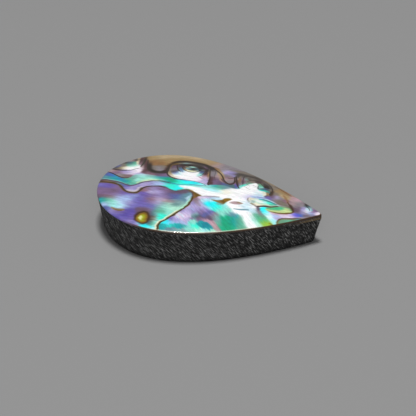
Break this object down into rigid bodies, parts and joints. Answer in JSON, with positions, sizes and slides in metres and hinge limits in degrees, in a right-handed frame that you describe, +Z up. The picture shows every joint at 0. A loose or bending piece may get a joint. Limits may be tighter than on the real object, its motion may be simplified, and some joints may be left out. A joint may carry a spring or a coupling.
{
  "type": "abalone shell cabochon",
  "caption": "Pear-shaped cabochon: a polished, slightly domed slice of abalone shell bonded to a thick dark backing, for setting in jewellery.",
  "frame": {"origin": "middle of the flat underside, at the bottom centre of the bounding box", "axes": "+X along the length towards the pointed tip, +Y across the width, +Z up out of the polished face"},
  "size_m": [0.04, 0.025, 0.0075],
  "materials": {
    "nacre": "high polish, iridescent mother-of-pearl",
    "backing": "coarsely sanded, matte charcoal"
  },
  "bodies": {
    "root": {"shell": "nacre", "backing": "backing"}
  },
  "joints": []
}
